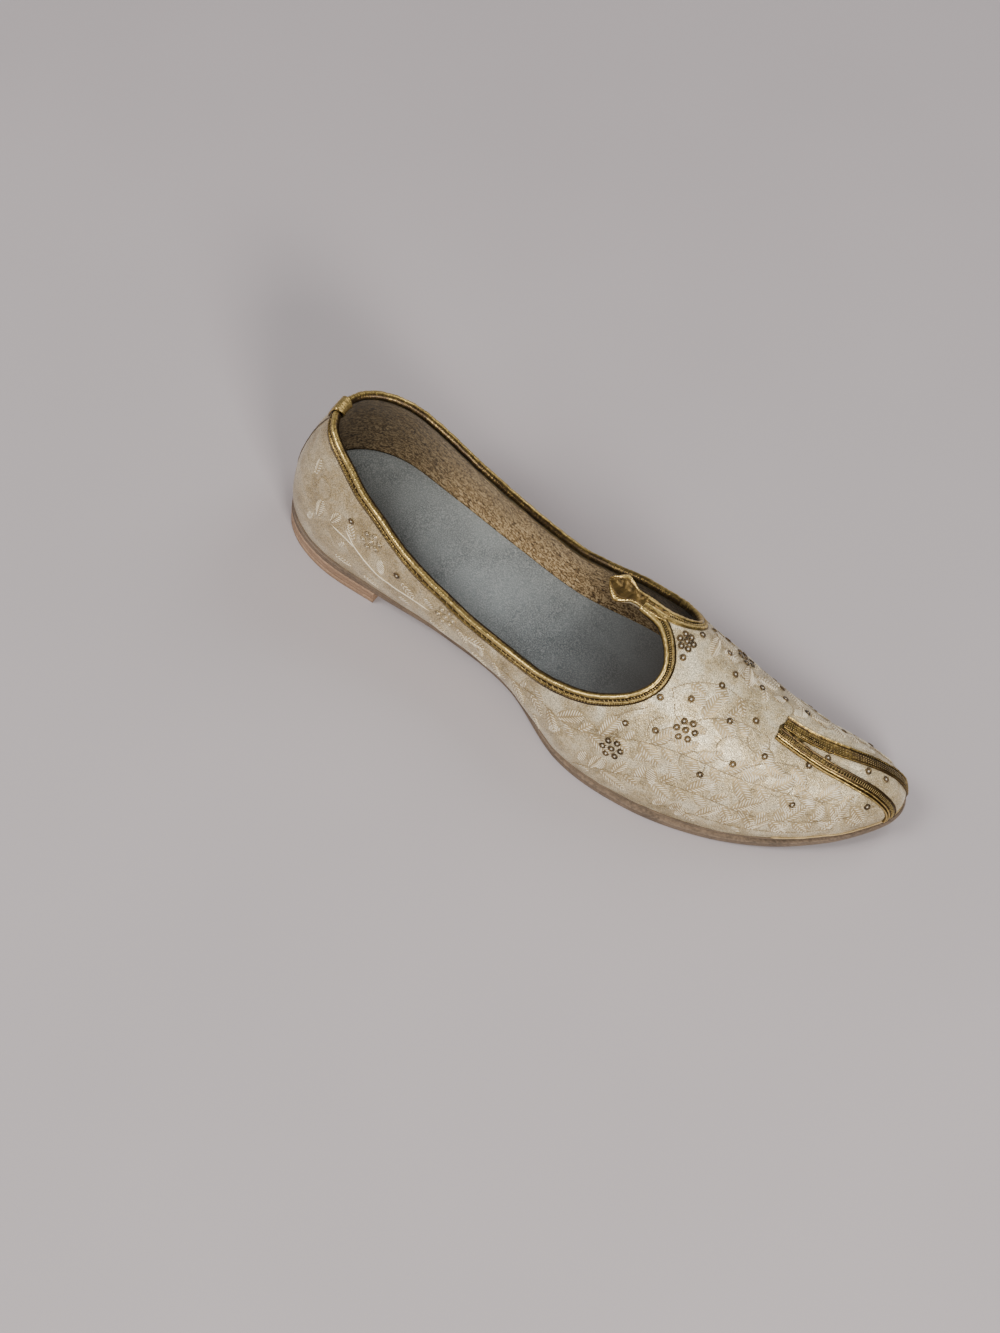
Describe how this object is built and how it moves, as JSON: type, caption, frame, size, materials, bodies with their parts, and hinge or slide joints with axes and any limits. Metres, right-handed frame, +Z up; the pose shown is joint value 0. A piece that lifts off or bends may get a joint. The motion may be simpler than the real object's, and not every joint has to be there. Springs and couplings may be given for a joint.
{
  "type": "mojari shoe",
  "caption": "Right-foot slip-on mojari with a pointed toe, gold-bound collar, pointed throat tongue, gold toe strips, leather outsole and low heel.",
  "frame": {"origin": "centre of the bounding box in plan, on the floor that the sole stands on", "axes": "+X from heel to toe, +Y to the inner (medial) side of the right foot, +Z up"},
  "size_m": [0.298, 0.0842, 0.0782],
  "materials": {
    "brocade": "ivory and champagne silk brocade with self-coloured embroidery",
    "gold_trim": "creased antique gold foil leather",
    "sole_leather": "tan leather, burnished edge",
    "heel_stack": "pale stacked leather",
    "insole_suede": "matt grey-green suede"
  },
  "bodies": {
    "root": {"upper": "brocade", "outsole": "sole_leather", "heel_lift": "heel_stack", "insole": "insole_suede", "collar_binding": "gold_trim", "heel_tab": "gold_trim", "throat_tip": "gold_trim", "toe_strip_lateral": "gold_trim", "toe_strip_medial": "gold_trim"}
  },
  "joints": []
}
